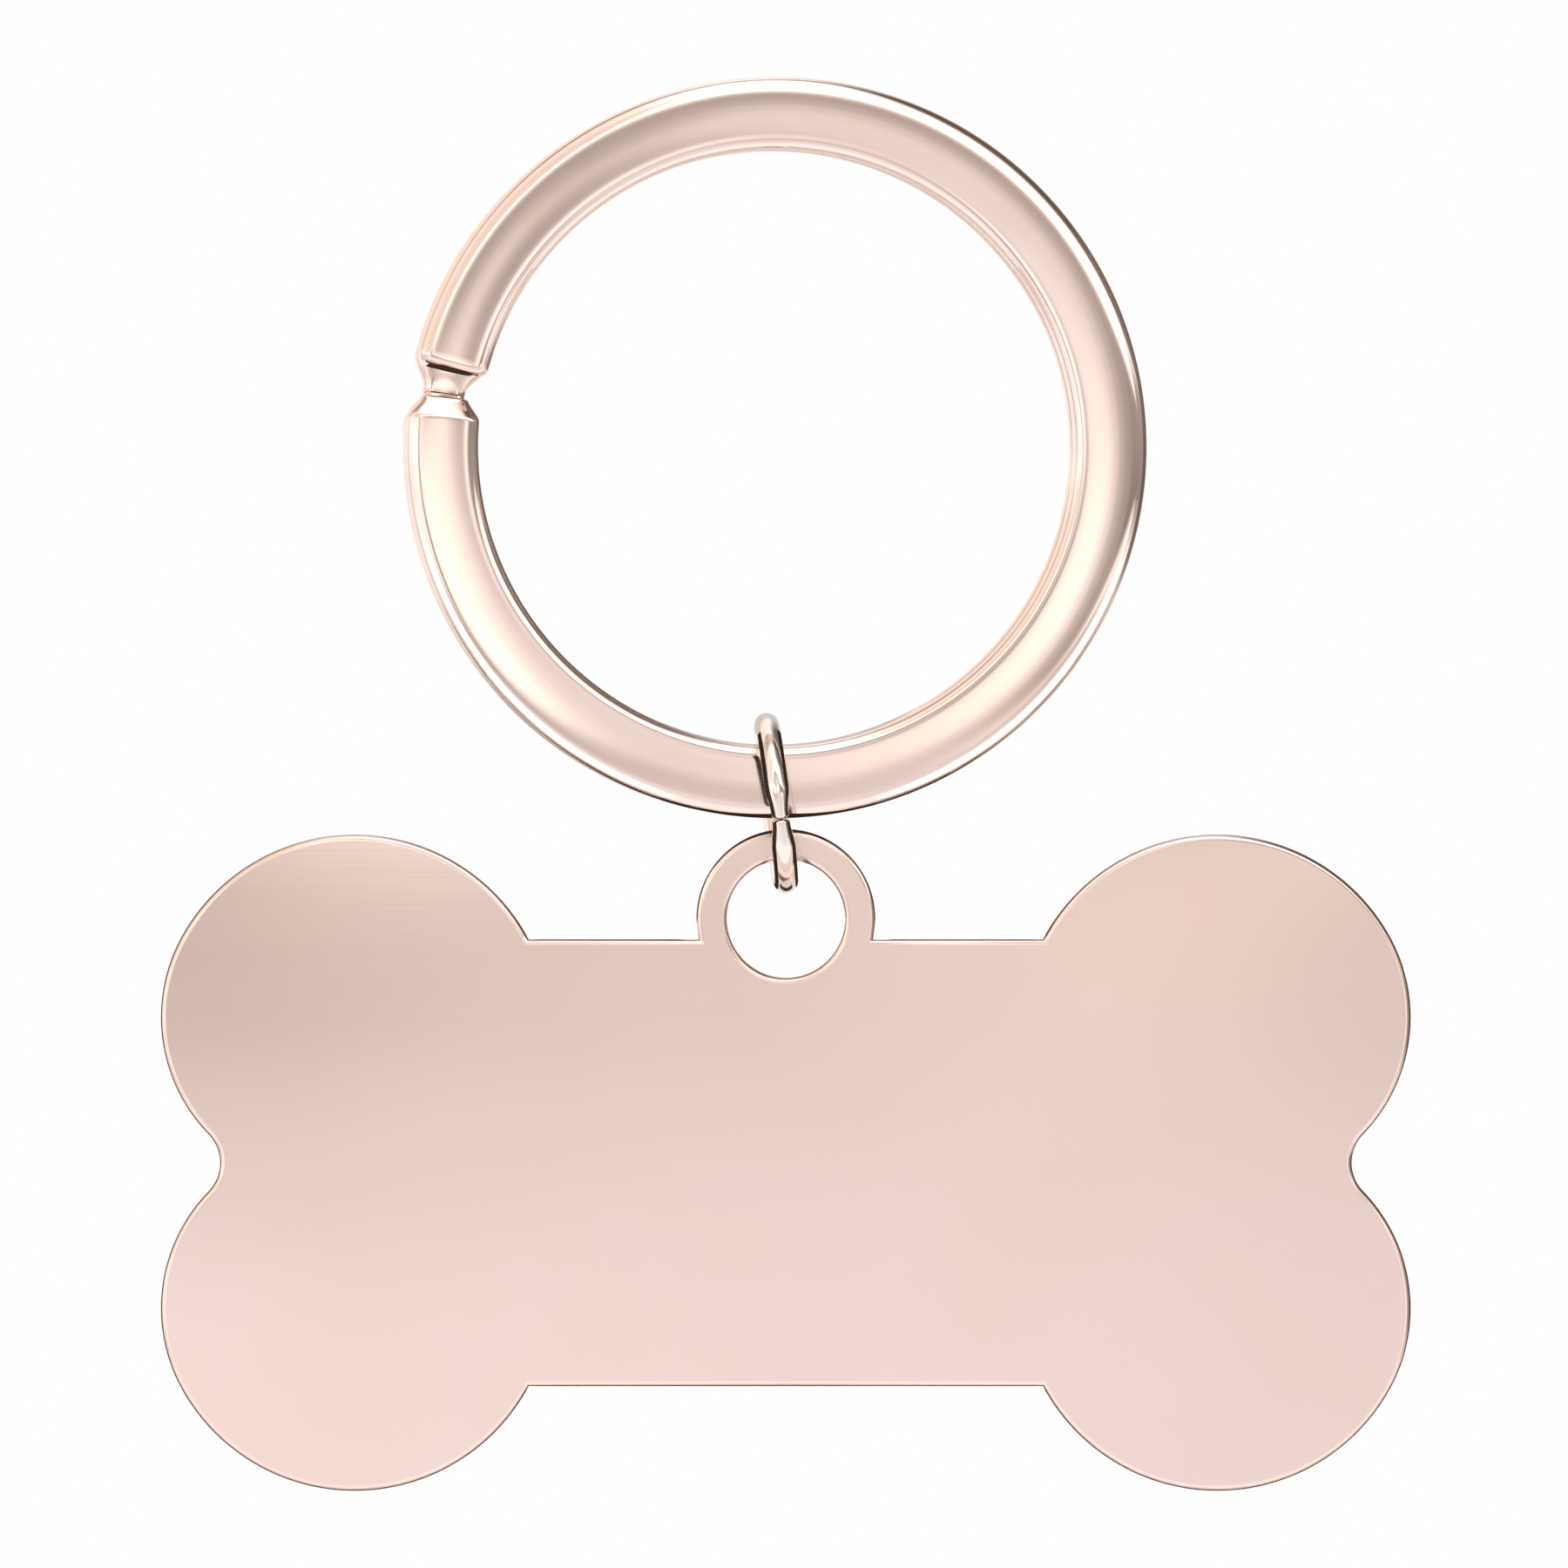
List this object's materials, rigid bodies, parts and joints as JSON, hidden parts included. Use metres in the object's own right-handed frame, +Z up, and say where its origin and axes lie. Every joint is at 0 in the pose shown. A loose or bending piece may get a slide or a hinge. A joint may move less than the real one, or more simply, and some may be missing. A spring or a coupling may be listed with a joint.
{
  "type": "pet id tag",
  "caption": "Bone-shaped flat metal pet tag with a holed lug, hung by a small jump ring from a flat-wire split ring for a collar.",
  "frame": {"origin": "centre of the split ring, on the middle plane of its two turns", "axes": "+Z up as the tag hangs, +X along the bone to the viewer's right, -Y out of the face the viewer sees, so +Y is the split ring's axis"},
  "size_m": [0.04, 0.0058, 0.0453],
  "materials": {
    "tag_metal": "rose gold plated steel sheet, polished with a very fine grain",
    "split_ring_metal": "rose gold plated flat spring wire, bright polished",
    "jump_ring_metal": "rose gold plated round wire, bright polished"
  },
  "bodies": {
    "split_ring": {"split_ring": "split_ring_metal"},
    "jump_ring": {"jump_ring": "jump_ring_metal"},
    "bone_tag": {"bone_tag": "tag_metal"}
  },
  "joints": [
    {"name": "jump_ring_swing", "type": "hinge", "parent": "split_ring", "child": "jump_ring", "pos_m": [0, 0, -0.01069], "axis": [1, 0, 0], "range_deg": [-125, 125]},
    {"name": "tag_swing", "type": "hinge", "parent": "jump_ring", "child": "bone_tag", "pos_m": [0.00031, 0, -0.0139], "axis": [0, 1, 0], "range_deg": [-25, 25]}
  ]
}
